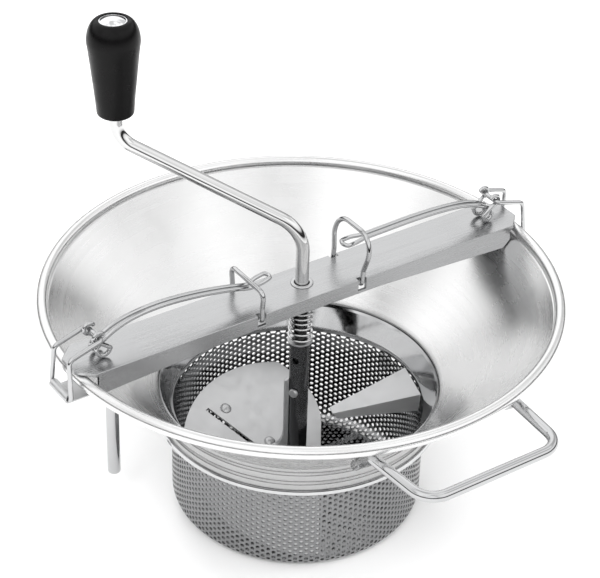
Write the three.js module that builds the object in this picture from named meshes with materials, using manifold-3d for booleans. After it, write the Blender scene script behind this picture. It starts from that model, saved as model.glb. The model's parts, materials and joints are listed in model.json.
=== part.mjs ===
// Rotary potato ricer (food mill): a steel hopper with a perforated basket, a crank-driven blade
// on a sprung shaft, and a crossbar held across the rim by two wire toggle latches.
// Millimetres, +Z up. The origin is the centre of the basket's flat underside, and +X runs
// along the crossbar. The loop handle points to -Y.
import * as THREE from "three";
import { mergeVertices } from "three/addons/utils/BufferGeometryUtils.js";
import Module from "manifold-3d";

const wasm = await Module();
wasm.setup();

// ---------------------------------------------------------------- driving dimensions

const gap = 0.3; // between pieces that touch
const sheet = 1.0; // hopper, basket and guide plate
const ringSegments = 48; // facets round the hopper and the basket
const smallSegments = 24; // facets round bushes, washers and the grip

const rim = { radius: 155, tube: 7.2, wire: 4.6, sheet: 0.9, seamAngle: 245 };
const coneDepth = 64; // rim plane to the top of the neck
const neck = { radius: 86, height: 16, bead: 1.2 };
const neckRing = { overhang: 1.0, height: 2.7 };
const basket = { radius: 77, depth: 67.5, corner: 9, flangeRadius: 84.2, flangeDepth: 14.3 };
const bush = { flange: 18, hole: 12, height: 3, bottom: 1.2 };

const rod = 8; // crank and support legs
const crank = { arm: 110, rise: 45.5, elbow: 43, direction: 135, bend: 22, gripBend: 16 };
const grip = { base: 104.5, top: 163.4, foot: 21.6, shoulder: 30.6, shoulderDrop: 13.4, cap: 16 };
const running = 0.4; // radial clearance of turning fits

// The crossbar's flanges are deepest at the rim and shallow over the basket.
const bar = { width: 32, depth: 14.4, waist: 9.4, waistReach: 46, sheet: 2.2, chamfer: 9 };
const eyelet = { flange: 13.6, barrel: 11.6, raise: 0.5 };
const spring = { outer: 14.4, wire: 1.5, turns: 9, foot: -33.6 };
const sleeve = { wall: 1.6, top: -35.8 };

const bladeReach = 70; // plan radius of the blade's round edge
const bladeEdge = 15; // plan distance of its straight edge from the shaft
const bladeSheet = 1.2;
const bladeLift = 23.5; // height at the shaft, over the basket's underside
const bladeSlope = { across: -0.2, along: 0.27 }; // rise per millimetre in the blade's own plan
const bladeTurn = -35; // degrees from the crossbar

// Latch distances are from the rim's outer edge, and their heights from the crossbar's top.
const bailWire = 2.8;
const leverWire = 2.6;
const keeperWire = 3;
const barrel = { outside: 4.5, drop: 15.7, outer: 5.8, length: 18.4 };
const bail = { foot: 11.2, arm: 8.6, shoulder: 8.8, crossInside: 17, crossHeight: 15.1 };
const curl = { inside: 20.2, ring: 3.8, spacing: 2.5, eyeSpacing: 5.4, eyeRing: 3.2 };
const keepers = {
  left: { x: -38, overhang: 1.2, inset: 0, height: 15.2, bulge: false, lean: 0 },
  right: { x: 32.5, overhang: 1.6, inset: 1, height: 27.4, bulge: true, lean: 4 },
};
// Each lever's run from its curl (share 1) to its keeper (share 0): share, height, half spread.
const levers = {
  left: {
    run: [[0.92, 14, 2.3], [0.81, 17.6, 2], [0.67, 19.2, 1.9], [0.52, 19.1, 1.9],
      [0.33, 17.2, 1.9], [0.12, 13.6, 1.9], [0, 10.7, 2], [-0.07, 12, 3.2]],
    thumb: { beyond: 11, width: 3.4, height: 13.4 },
  },
  right: {
    run: [[0.92, 13.6, 2.3], [0.81, 16.4, 2], [0.66, 18, 1.9], [0.46, 18.6, 1.9],
      [0.27, 18.2, 1.9], [0.11, 17.8, 2], [0.04, 17.8, 3.4]],
    thumb: { beyond: 0, width: 4, height: 17.4 },
  },
};

const handle = { rod: 6.4, drop: 10, reach: 184, halfWidth: 48, taper: 3, bend: 13, weld: 18 };
const leg = { radius: 113, angle: 25, foot: -124 };
const guide = { drop: 80.5, tip: 12, near: -22.5, far: -16.5, skirt: 11, start: -6, end: -28 };

// ---------------------------------------------------------------- derived sizes

const rimPlane = coneDepth + neck.height + basket.depth; // height of the rim's centre
const rimCentre = rim.radius - rim.tube / 2;
const barUnder = rim.tube / 2 + 0.4; // crossbar's underside over the rim plane
const barTop = barUnder + bar.sheet;
const shaft = rod / 2;
const bore = shaft + running;
const sleeveRadius = bore + sleeve.wall;
const bladeDrop = bladeLift - rimPlane;
const floorTop = -rimPlane + sheet;
const shaftEnd = -rimPlane + bush.bottom + gap;
const curlHeight = barTop + gap + leverWire / 2 + curl.ring;
const barrelRadius = rim.radius + barrel.outside;
const barrelHeight = barTop - barrel.drop;
const crossRadius = rim.radius - bail.crossInside;
const crossHeight = barTop + bail.crossHeight;
const curlRadius = rim.radius - curl.inside;

// ---------------------------------------------------------------- finishes

const steel = (color, roughness) =>
  new THREE.MeshStandardMaterial({ color, roughness, metalness: 1 });
const finish = {
  polished: steel(0xd9dadb, 0.08),
  satin: steel(0xbfc1c3, 0.3),
  wire: steel(0xc4c6c8, 0.16),
  spring: steel(0xb4b6b8, 0.22),
  chrome: steel(0xe2e3e4, 0.05),
  black: new THREE.MeshStandardMaterial({ color: 0x0d0c0e, roughness: 0.35, metalness: 0 }),
};

// ---------------------------------------------------------------- helpers

const object = new THREE.Group();
const rad = THREE.MathUtils.degToRad;
const v2 = (x, y) => new THREE.Vector2(x, y);
const v3 = (x, y, z) => new THREE.Vector3(x, y, z);
const polar = (radius, degrees, z = 0) =>
  v3(radius * Math.cos(rad(degrees)), radius * Math.sin(rad(degrees)), z);

function add(name, geometry, material, parent = object) {
  const mesh = new THREE.Mesh(geometry, material);
  mesh.name = name;
  parent.add(mesh);
  return mesh;
}

// Heights are given from the rim plane; this lifts a geometry to its place over the origin.
const raise = (geometry) => geometry.translate(0, 0, rimPlane);

// A solid of revolution about Z from a [radius, height] outline: a ring when the outline stays off
// the axis, or a solid when it starts and ends on it.
function revolve(outline, segments = ringSegments) {
  const onAxis = outline[0][0] < 1e-6;
  const loop = onAxis ? outline : [...outline, outline[0]];
  const area = loop.slice(1).reduce((sum, [r, z], i) => sum + loop[i][0] * z - r * loop[i][1], 0);
  const points = loop.map(([r, z]) => v2(Math.max(r, 0), z));
  if (onAxis) points[0].x = points[points.length - 1].x = 0;
  if (area < 0) points.reverse();
  return new THREE.LatheGeometry(points, segments).rotateX(Math.PI / 2);
}

// Points of an arc in an outline, from one angle to another in degrees.
function arc(r, z, radius, from, to, steps) {
  return Array.from({ length: steps + 1 }, (_, i) => {
    const a = rad(from + ((to - from) * i) / steps);
    return [r + radius * Math.cos(a), z + radius * Math.sin(a)];
  });
}

function toSolid(geometry) {
  const bare = geometry.index ? geometry.toNonIndexed() : geometry.clone();
  bare.deleteAttribute("normal");
  bare.deleteAttribute("uv");
  const merged = mergeVertices(bare, 1e-3);
  return new wasm.Manifold(
    new wasm.Mesh({
      numProp: 3,
      vertProperties: merged.attributes.position.array,
      triVerts: new Uint32Array(merged.index.array),
    }),
  );
}

function toGeometry(solid) {
  const mesh = solid.getMesh();
  const geometry = new THREE.BufferGeometry()
    .setAttribute("position", new THREE.BufferAttribute(mesh.vertProperties.slice(), 3))
    .setIndex(new THREE.BufferAttribute(mesh.triVerts.slice(), 1));
  geometry.computeVertexNormals();
  return geometry;
}

const join = (...parts) => toGeometry(parts.map(toSolid).reduce((a, b) => a.add(b)));
const cut = (body, ...tools) =>
  toGeometry(tools.map(toSolid).reduce((a, b) => a.subtract(b), toSolid(body)));

const block = (x, y, z, cx, cy, cz) => new THREE.BoxGeometry(x, y, z).translate(cx, cy, cz);
const pin = (radius, length, segments = smallSegments) =>
  new THREE.CylinderGeometry(radius, radius, length, segments).rotateX(Math.PI / 2);

function plate(points, thickness) {
  const shape = new THREE.Shape(points.map(([x, y]) => v2(x, y)));
  return new THREE.ExtrudeGeometry(shape, { depth: thickness, bevelEnabled: false });
}

// A wire's centre line: straight between the points, with a round bend at each corner.
function bent(points, bend, steps = 5) {
  const line = [points[0]];
  points.slice(1, -1).forEach((corner, i) => {
    const radius = Array.isArray(bend) ? bend[i] : bend;
    const before = points[i].clone().sub(corner).normalize();
    const after = points[i + 2].clone().sub(corner).normalize();
    const half = before.angleTo(after) / 2;
    const centre = before.clone().add(after).normalize().multiplyScalar(radius / Math.sin(half));
    const start = before.multiplyScalar(radius / Math.tan(half)).sub(centre);
    const end = after.multiplyScalar(radius / Math.tan(half)).sub(centre);
    const sweep = start.angleTo(end);
    for (let k = 0; k <= steps; k++) {
      const t = k / steps;
      const spoke = start.clone().multiplyScalar(Math.sin((1 - t) * sweep));
      spoke.addScaledVector(end, Math.sin(t * sweep)).divideScalar(Math.sin(sweep));
      line.push(corner.clone().add(centre).add(spoke));
    }
  });
  line.push(points[points.length - 1]);
  return line;
}

// A curve that steps from point to point of a list, so each bend keeps its own spacing.
class Steps extends THREE.Curve {
  constructor(points) {
    super();
    this.points = points;
  }
  index(t) {
    return Math.round(t * (this.points.length - 1));
  }
  getPoint(t) {
    return this.points[this.index(t)].clone();
  }
  getPointAt(t) {
    return this.getPoint(t);
  }
  getTangentAt(t) {
    const i = this.index(t);
    const { points } = this;
    const here = points[i];
    const into = here.clone().sub(points[Math.max(i - 1, 0)]).normalize();
    const out = points[Math.min(i + 1, points.length - 1)].clone().sub(here).normalize();
    return into.add(out).normalize();
  }
}

function wire(points, diameter, sides = 6) {
  const ring = Array.from({ length: sides }, (_, i) => {
    const a = (2 * Math.PI * (i + 0.5)) / sides;
    return v2((diameter / 2) * Math.cos(a), (diameter / 2) * Math.sin(a));
  });
  return new THREE.ExtrudeGeometry(new THREE.Shape(ring), {
    steps: points.length - 1,
    extrudePath: new Steps(points),
  });
}

// ---------------------------------------------------------------- hopper, neck and rim

// The cone's upper face runs from the rolled rim down to the neck; the lower face is one sheet out.
const coneTop = { r: rimCentre - rim.tube / 2 + 0.35, z: -1.6 };
const coneFoot = { r: neck.radius - sheet, z: -coneDepth };
const coneSlope = Math.atan2(coneTop.z - coneFoot.z, coneTop.r - coneFoot.r);
const coneOut = v2(Math.sin(coneSlope), -Math.cos(coneSlope)); // points out of the hopper
// Radii of the cone's upper and lower faces at a height under the rim plane.
const coneInnerAt = (z) => coneFoot.r + (z - coneFoot.z) / Math.tan(coneSlope);
const coneOuterAt = (z) => coneInnerAt(z) + sheet / Math.sin(coneSlope);

function hopperOutline() {
  const outer = rim.tube / 2;
  const inner = outer - rim.sheet;
  const start = 205;
  const end = rim.seamAngle - 360;
  const curlOut = arc(rimCentre, 0, outer, start, end, 10);
  const curlIn = arc(rimCentre, 0, inner, end, start + 10, 7);
  const pitch = neck.height / 6;
  const beads = [0.9, 1.5, 2.1, 3.4, 4, 4.6].map((k, i) => [
    neck.radius - (i % 3 === 1 ? neck.bead : 0),
    coneFoot.z - k * pitch,
  ]);
  const foot = coneFoot.z - neck.height + gap;
  const wallOut = [[neck.radius, coneFoot.z], ...beads, [neck.radius, foot]];
  const wallIn = wallOut.slice(1).map(([r, z]) => [r - sheet, z]).reverse();
  return [...wallIn, [coneFoot.r, coneFoot.z], ...curlOut, ...curlIn, ...wallOut];
}

function addHopper() {
  add("hopper", raise(revolve(hopperOutline())), finish.polished);
  const wireRing = arc(rimCentre, 0, rim.wire / 2, 30, 330, 5);
  add("rim_wire", raise(revolve(wireRing)), finish.wire);
  const ringTop = -coneDepth - neck.height;
  const ring = [
    [basket.radius + gap * 2, ringTop],
    [neck.radius + neckRing.overhang, ringTop],
    [neck.radius + neckRing.overhang, ringTop - neckRing.height],
    [basket.radius + gap * 2, ringTop - neckRing.height],
  ];
  add("neck_ring", raise(revolve(ring)), finish.polished);
}

// ---------------------------------------------------------------- basket

function basketOutline() {
  const seat = -coneDepth - neck.height + gap * 2;
  const top = seat + basket.flangeDepth;
  const { radius, corner } = basket;
  const bend = -rimPlane + corner;
  const hole = bush.hole / 2;
  return [
    [hole, -rimPlane],
    ...arc(radius - corner, bend, corner, -90, 0, 4),
    [radius, seat],
    [basket.flangeRadius, top],
    [basket.flangeRadius - sheet, top],
    [radius - sheet, seat + sheet / 2],
    ...arc(radius - corner, bend, corner - sheet, 0, -90, 4),
    [hole, floorTop],
  ];
}

function addBasket() {
  add("basket", raise(revolve(basketOutline())), finish.satin);
  // A cup set in the middle of the floor, flush with its underside, holds the shaft's end.
  const stem = bush.hole / 2 - gap;
  const seat = floorTop + gap;
  const outline = [
    [0, -rimPlane],
    [stem, -rimPlane],
    [stem, seat],
    [bush.flange / 2, seat],
    [bush.flange / 2, seat + bush.height / 2],
    [bore + 1.2, seat + bush.height],
    [bore, seat + bush.height],
    [bore, shaftEnd - gap],
    [0, shaftEnd - gap],
  ];
  add("floor_bush", raise(revolve(outline, smallSegments)), finish.satin);
}

// A folded plate fixed inside the basket wall: its flat top runs in towards the shaft and its
// skirt hangs from the front edge.
function addFoodGuide() {
  const wall = (basket.radius - sheet - gap) * Math.cos(Math.PI / ringSegments);
  const [backEnd, frontEnd] = [guide.start, guide.end].map((a) => polar(wall, a));
  const tip = v2(guide.tip - 2, guide.near);
  const top = plate(
    [
      [backEnd.x, backEnd.y],
      [guide.tip, guide.far],
      [tip.x, tip.y],
      [frontEnd.x, frontEnd.y],
    ],
    sheet,
  ).translate(0, 0, -guide.drop);
  const edge = v2(frontEnd.x - tip.x, frontEnd.y - tip.y);
  const skirt = plate(
    [
      [0, sheet],
      [3, sheet - 4.5],
      [edge.length() - 1, -guide.skirt],
      [edge.length() - 0.2, sheet],
    ],
    sheet,
  )
    .rotateX(Math.PI / 2)
    .translate(0, sheet * 0.8, 0)
    .rotateZ(edge.angle())
    .translate(tip.x, tip.y, -guide.drop);
  add("food_guide", raise(join(top, skirt)), finish.satin);
}

// ---------------------------------------------------------------- handle and legs

// A point beside the cone's lower face at a plan direction, clear of it by a wire's radius.
function onCone(radius, degrees, diameter) {
  const z = coneFoot.z + (radius - coneFoot.r) * Math.tan(coneSlope);
  const off = sheet + diameter / 2 + gap;
  return polar(radius + coneOut.x * off, degrees, z + coneOut.y * off);
}

function addLoopHandle() {
  const side = (sign) => {
    const footY = -Math.sqrt(coneOuterAt(-handle.drop) ** 2 - handle.halfWidth ** 2) - 8;
    const plan = THREE.MathUtils.radToDeg(Math.atan2(footY, sign * handle.halfWidth));
    const weldTop = coneOuterAt(-handle.drop - 4) - 4;
    return [
      onCone(weldTop - handle.weld, plan, handle.rod),
      onCone(weldTop, plan, handle.rod),
      v3(sign * handle.halfWidth, footY, -handle.drop),
      v3(sign * (handle.halfWidth - handle.taper), -handle.reach, -handle.drop),
    ];
  };
  const corners = [...side(-1), ...side(1).reverse()];
  const bends = [5, 6, handle.bend, handle.bend, 6, 5];
  add("loop_handle", raise(wire(bent(corners, bends, 4), handle.rod, 8)), finish.wire);
}

function addLegs() {
  const space = [
    [0, 20],
    [coneOuterAt(20) + gap * 2, 20],
    [coneOuterAt(coneFoot.z) + gap * 2, coneFoot.z],
    [0, coneFoot.z],
  ];
  const round = arc(0, leg.foot + shaft, shaft, -90, 0, 3);
  const stick = revolve([...round, [shaft, -20], [0, -20]], 10);
  for (const [name, angle] of [["right", leg.angle], ["left", 180 - leg.angle]]) {
    const place = polar(leg.radius, angle);
    const body = stick.clone().translate(place.x, place.y, 0);
    add("support_leg_" + name, raise(cut(body, revolve(space))), finish.wire);
  }
}

// ---------------------------------------------------------------- crossbar and keepers

function addCrossbar() {
  const half = bar.width / 2;
  const end = rim.radius;
  const web = plate(
    [
      [-end, -half + bar.chamfer],
      [-end + bar.chamfer, -half],
      [end - bar.chamfer, -half],
      [end, -half + bar.chamfer],
      [end, half - bar.chamfer],
      [end - bar.chamfer, half],
      [-end + bar.chamfer, half],
      [-end, half - bar.chamfer],
    ],
    bar.sheet,
  ).translate(0, 0, barUnder);
  // The flanges stop short of the cone and the rolled rim, so their ends slant with the cone.
  const reach = (radius) =>
    Math.sqrt(((radius - 2 * gap) * Math.cos(Math.PI / ringSegments)) ** 2 - half ** 2);
  const low = barTop - bar.depth;
  const waist = barTop - bar.waist;
  const bend = coneTop.z - 2;
  const top = Math.min(reach(rimCentre - rim.tube / 2), reach(coneInnerAt(bend)));
  const flange = (y) =>
    plate(
      [
        [-reach(coneInnerAt(low)), low],
        [-bar.waistReach, waist],
        [bar.waistReach, waist],
        [reach(coneInnerAt(low)), low],
        [top, bend],
        [top, barTop - bar.sheet / 2],
        [-top, barTop - bar.sheet / 2],
        [-top, bend],
      ],
      bar.sheet,
    )
      .rotateX(Math.PI / 2)
      .translate(0, y + bar.sheet / 2, 0);
  const channel = join(web, flange(half - bar.sheet / 2), flange(-half + bar.sheet / 2));
  const notch = (side) =>
    [-1, 1].map((sign) => block(keeperWire + 2.4, 8, 9, side.x, sign * (half + 0.9), barUnder - 1));
  const hole = pin(eyelet.barrel / 2 + gap, 10).translate(0, 0, barTop);
  const notches = Object.values(keepers).flatMap(notch);
  add("crossbar", raise(cut(channel, hole, ...notches)), finish.satin);
  const outline = [
    [bore, barUnder],
    [eyelet.barrel / 2, barUnder],
    [eyelet.barrel / 2, barTop + gap],
    [eyelet.flange / 2, barTop + gap],
    [eyelet.flange / 2 - 0.4, barTop + gap + eyelet.raise],
    [bore, barTop + gap + eyelet.raise],
  ];
  add("crossbar_eyelet", raise(revolve(outline, smallSegments)), finish.satin);
}

// A keeper is a wire loop that stands on the crossbar and clips over its lever.
function addKeepers() {
  for (const [name, side] of Object.entries(keepers)) {
    const lean = (h) => side.x + (side.lean * h) / side.height;
    const hook = -bar.sheet - keeperWire / 2 - 0.4;
    const at = (h, y) => v3(lean(Math.max(h, 0)), y, barTop + h);
    const foot = bar.width / 2 - side.inset;
    const widest = bar.width / 2 + side.overhang;
    const half = (sign) => [
      at(hook, sign * (bar.width / 2 - bar.sheet - 2.2)),
      at(hook, sign * foot),
      at(5, sign * foot),
      ...(side.bulge ? [at(side.height - 12, sign * widest)] : []),
      at(side.height, sign * widest * (side.bulge ? 0.86 : 1)),
    ];
    const corners = [...half(-1), ...half(1).reverse()];
    const top = side.bulge ? 11 : 4;
    const rounds = side.bulge ? [1.6, 8, 12, top] : [1.6, 8, top];
    const line = bent(corners, [...rounds, ...rounds.slice().reverse()], 4);
    add("keeper_" + name, raise(wire(line, keeperWire)), finish.wire);
  }
}

// ---------------------------------------------------------------- toggle latches

// A latch at the +X end; sign -1 mirrors it to the -X end.
function addLatch(name, sign) {
  const at = (r, y, z) => v3(sign * r, y, z);

  const ring = revolve(
    [
      [bailWire / 2 + 0.35, -barrel.length / 2],
      [barrel.outer / 2, -barrel.length / 2],
      [barrel.outer / 2, barrel.length / 2],
      [bailWire / 2 + 0.35, barrel.length / 2],
    ],
    16,
  )
    .rotateX(Math.PI / 2)
    .translate(sign * barrelRadius, 0, barrelHeight);
  const low = barrelHeight - barrel.outer / 2;
  const thick = 1.1;
  const fold = coneOuterAt(low) + thick + 0.6;
  const weld = 14;
  const slope = v2(Math.cos(coneSlope), Math.sin(coneSlope));
  const strapSection = [
    [barrelRadius, low + 0.05],
    [barrelRadius, low + thick],
    [fold, low + thick],
    [fold - slope.x * weld, low + thick - slope.y * weld],
    [fold - slope.x * weld + coneOut.x * thick, low + thick - slope.y * weld + coneOut.y * thick],
    [fold + 0.7, low + 0.05],
  ];
  const strap = plate(sign > 0 ? strapSection : strapSection.map(([x, z]) => [-x, z]), barrel.length)
    .rotateX(Math.PI / 2)
    .translate(0, barrel.length / 2, 0);
  const open = pin(bailWire / 2 + 0.35, barrel.length + 2, 16)
    .rotateX(Math.PI / 2)
    .translate(sign * barrelRadius, 0, barrelHeight);
  add("latch_bracket_" + name, raise(cut(join(ring, strap), open)), finish.satin);

  const halfBail = (y) => [
    at(barrelRadius, y * 5, barrelHeight),
    at(barrelRadius, y * bail.foot, barrelHeight),
    at(barrelRadius - 1.2, y * bail.arm, barTop + bail.shoulder),
    at(crossRadius, y * bail.arm, crossHeight),
  ];
  const bailLine = bent([...halfBail(-1), ...halfBail(1).reverse()], [1.5, 4, 1.5, 1.5, 4, 1.5], 4);
  add("bail_" + name, raise(wire(bailLine, bailWire)), finish.wire);
}

// A lever is one wire: each end hooks round the bail's cross wire, turns one curl that bears on
// the crossbar, and runs in to a rounded thumb loop past the keeper.
function addLever(name, sign) {
  const { run, thumb } = levers[name];
  const clip = Math.abs(keepers[name].x);
  const turns = (cx, cz, radius, from, to, steps, y, yEnd = y) =>
    arc(cx, cz, radius, from, to, steps).map(([r, z], i) =>
      v3(sign * r, y + ((yEnd - y) * i) / steps, z),
    );
  const { ring, eyeRing, spacing, eyeSpacing } = curl;
  const half = (side) => [
    ...turns(crossRadius, crossHeight, eyeRing, 150, -90, 8, side * eyeSpacing),
    ...turns(curlRadius, curlHeight, ring, 165, 440, 11, side * (eyeSpacing - 0.4), side * spacing),
    ...run.map(([share, h, spread]) =>
      v3(sign * (clip + share * (curlRadius - clip)), side * spread, barTop + h),
    ),
  ];
  const loop = [60, 0, -60].map((a) => {
    const r = clip - thumb.beyond - thumb.width * Math.cos(rad(a));
    return v3(sign * r, -thumb.width * Math.sin(rad(a)), barTop + thumb.height);
  });
  const line = [...half(-1), ...loop, ...half(1).reverse()];
  add("lever_" + name, raise(wire(line, leverWire)), finish.wire);
}

// ---------------------------------------------------------------- crank, grip and spring

function addCrank() {
  const line = bent(
    [
      v3(0, 0, shaftEnd),
      v3(0, 0, crank.elbow),
      polar(crank.arm, crank.direction, crank.elbow + crank.rise),
      polar(crank.arm, crank.direction, grip.top - 6),
    ],
    [crank.bend, crank.gripBend],
    6,
  );
  add("crank_rod", raise(wire(line, rod, 10)), finish.polished);
}

function addGrip() {
  const place = polar(crank.arm, crank.direction);
  const set = (name, outline, material) =>
    add(name, raise(revolve(outline, smallSegments)).translate(place.x, place.y, 0), material);
  const { base, top, foot, shoulder, shoulderDrop } = grip;
  const seat = grip.cap / 2;
  const pocket = top - 9;
  const rise = top - 0.4 - (top - shoulderDrop);
  const round = [0, 22, 44, 66, 84].map((a) => [
    seat + 0.6 + (shoulder / 2 - seat - 0.6) * Math.cos(rad(a)),
    top - shoulderDrop + rise * Math.sin(rad(a)),
  ]);
  set(
    "grip",
    [
      [bore + 0.1, base],
      [foot / 2 - 1.8, base],
      [foot / 2 - 0.4, base + 1],
      [foot / 2, base + 2.6],
      ...round,
      [seat + gap, top - 0.4],
      [seat + gap, top - 2.2],
      [seat - 0.8, top - 2.2],
      [seat - 0.8, pocket],
      [bore + 0.1, pocket],
    ],
    finish.black,
  );
  const dome = arc(0, top - 12.2, 13.4, 90, 90 - 33, 4);
  set("grip_cap", [...dome, [seat, top - 0.9], [seat, top - 1.9], [0, top - 1.9]], finish.chrome);
  const washer = [
    [bore, pocket + gap],
    [seat - 1.3, pocket + gap],
    [seat - 1.3, pocket + gap + 1.4],
    [bore, pocket + gap + 1.4],
  ];
  set("grip_washer", washer, finish.satin);
}

function addSpring() {
  const washer = (name, top, radius) =>
    add(
      name,
      raise(
        revolve(
          [
            [bore + 0.1, top - 1.2],
            [radius, top - 1.2],
            [radius, top],
            [bore + 0.1, top],
          ],
          smallSegments,
        ),
      ),
      finish.satin,
    );
  const head = barUnder - 0.4;
  washer("spring_seat", head, 8.6);
  washer("spring_washer", spring.foot - gap, 7.6);
  const top = head - 1.2 - gap - spring.wire / 2;
  const bottom = spring.foot + spring.wire / 2;
  const mean = (spring.outer - spring.wire) / 2;
  const perTurn = 10;
  const count = spring.turns * perTurn;
  const line = Array.from({ length: count + 1 }, (_, i) => {
    const t = i / count;
    const widen = 0.7 * Math.max(0, 1 - 3 * (1 - t)); // the last coil opens out a little
    const eased = t + 0.02 * Math.sin(2 * Math.PI * t);
    return polar(mean + widen, (360 * i) / perTurn, top + (bottom - top) * eased);
  });
  add("spring", raise(wire(line, spring.wire, 5)), finish.spring);
}

// ---------------------------------------------------------------- sleeve and blade

const bladeHeight = (x, y) => bladeDrop + bladeSlope.across * x + bladeSlope.along * y;

// Leans a flat plate made at height 0 so that its plan outline stays the same.
function lean(geometry) {
  const shear = new THREE.Matrix4().set(
    1, 0, 0, 0,
    0, 1, 0, 0,
    bladeSlope.across, bladeSlope.along, 1, bladeDrop,
    0, 0, 0, 1,
  );
  return geometry.applyMatrix4(shear);
}

function addSleeve(parent) {
  const tube = revolve(
    [
      [bore, floorTop + gap * 2 + bush.height],
      [sleeveRadius, floorTop + gap * 2 + bush.height],
      [sleeveRadius, sleeve.top],
      [bore, sleeve.top],
    ],
    smallSegments,
  );
  const outward = rad(-115); // faces the front left of the crossbar
  const drill = (radius, z) =>
    pin(radius, 8, 12).rotateX(Math.PI / 2).translate(0, 7.5, 0).rotateZ(outward - Math.PI / 2)
      .translate(0, 0, z);
  add("blade_sleeve", raise(cut(tube, drill(2.2, -47), drill(1.8, -70))), finish.polished, parent);
  const screw = join(
    pin(2.8, 1.8, 16).translate(0, 0, sleeveRadius + 1.4),
    pin(1.4, 2.4, 12).translate(0, 0, sleeveRadius - 0.2),
  );
  const slot = block(8, 0.9, 1.2, 0, 0, sleeveRadius + 2.3);
  const placed = cut(screw, slot).rotateX(-Math.PI / 2).rotateZ(outward - Math.PI / 2)
    .translate(0, 0, -70);
  add("sleeve_screw", raise(placed), finish.satin, parent);
}

const rivets = [v2(-45.1, 24.9), v2(-16.7, 6.5)];

// The presser: a tilted plate that covers a little over half of the basket's floor. Its far edge
// rides high and its near edge wipes the floor as the crank turns clockwise.
function addBlade(parent) {
  const edgeY = Math.sqrt(bladeReach ** 2 - bladeEdge ** 2);
  const shape = new THREE.Shape()
    .moveTo(bladeEdge, -edgeY)
    .lineTo(bladeEdge, 28)
    .quadraticCurveTo(bladeEdge - 1, 54, -14, Math.sqrt(bladeReach ** 2 - 14 ** 2));
  const from = Math.atan2(Math.sqrt(bladeReach ** 2 - 14 ** 2), -14);
  const to = 2 * Math.PI - Math.atan2(edgeY, bladeEdge);
  shape.absarc(0, 0, bladeReach, from, to, false);
  const disc = new THREE.ExtrudeGeometry(shape, {
    depth: bladeSheet,
    bevelEnabled: false,
    curveSegments: 14,
  });
  const line = rivets[1].clone().sub(rivets[0]).normalize();
  const across = v2(line.y, -line.x);
  const angle = line.angle();
  const along = (base, t, off) =>
    base.clone().addScaledVector(line, t).addScaledVector(across, off);
  const slotMid = along(rivets[0], 18, 9);
  const slit = block(52, 2.6, 6, 0, 0, 0).rotateZ(angle).translate(slotMid.x, slotMid.y, 0);
  const clear = pin(sleeveRadius + 0.9, 14);
  const holes = rivets.map((p) => pin(1.9, 6, 12).translate(p.x, p.y, 0));
  const flat = cut(disc, slit, clear, ...holes);
  add("blade", raise(lean(flat)), finish.satin, parent);

  const stripMid = along(rivets[0], 17, 1);
  const strip = block(48, 11, 0.9, 0, 0, -0.75).rotateZ(angle).translate(stripMid.x, stripMid.y, 0);
  const stripHoles = rivets.map((p) => pin(1.9, 6, 12).translate(p.x, p.y, 0));
  add("scraper_strip", raise(lean(cut(strip, ...stripHoles))), finish.satin, parent);
  rivets.forEach((p, i) => {
    const outline = [
      [0, -1.9],
      [2.6, -1.9],
      [2.6, -1.5],
      [1.6, -1.5],
      [1.6, bladeSheet + gap],
      [3.4, bladeSheet + gap],
      [2.6, bladeSheet + gap + 1],
      [0, bladeSheet + gap + 1.5],
    ];
    const rivet = revolve(outline, 12).translate(p.x, p.y, 0);
    add("scraper_rivet_" + (i + 1), raise(lean(rivet)), finish.satin, parent);
  });
}

// A standing strip welded to the sleeve, with a foot on the blade and a relief over the foot.
function addHub(parent) {
  const inside = sleeveRadius + gap;
  const foot = bladeHeight(-inside, 0) + bladeSheet + 5;
  const shape = new THREE.Shape()
    .moveTo(inside, -62)
    .lineTo(inside + 2.6, -64)
    .lineTo(inside + 2.6, foot + 14)
    .quadraticCurveTo(inside + 3, foot + 5, inside + 9, foot + 3.5)
    .lineTo(inside + 9, foot)
    .lineTo(inside, foot);
  const hub = new THREE.ExtrudeGeometry(shape, {
    depth: 3,
    bevelEnabled: false,
    curveSegments: 6,
  });
  hub.rotateX(Math.PI / 2).translate(0, 1.5, 0).rotateZ(rad(190));
  add("blade_hub", raise(hub), finish.satin, parent);
}

// ---------------------------------------------------------------- assembly

const presser = new THREE.Group();
presser.rotation.z = rad(bladeTurn);
object.add(presser);

addHopper();
addBasket();
addFoodGuide();
addLoopHandle();
addLegs();
addCrossbar();
addKeepers();
for (const [name, sign] of [["left", -1], ["right", 1]]) {
  addLatch(name, sign);
  addLever(name, sign);
}
addCrank();
addGrip();
addSpring();
addSleeve(presser);
addBlade(presser);
addHub(presser);

export default object;
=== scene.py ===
# %% [markdown]
# # A rotary potato ricer, dressed around its CAD frame
# The real object is a food mill: a polished cone with a perforated basket, a crank that turns a
# sloping blade, and a folded crossbar held down by two wire latches. The CAD frame gives every
# place and size. This notebook makes the smooth pieces and the finishes around it.

# %% Open the frame
import json
import math

import bpy
import numpy as np
from mathutils import Matrix, Vector


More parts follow.
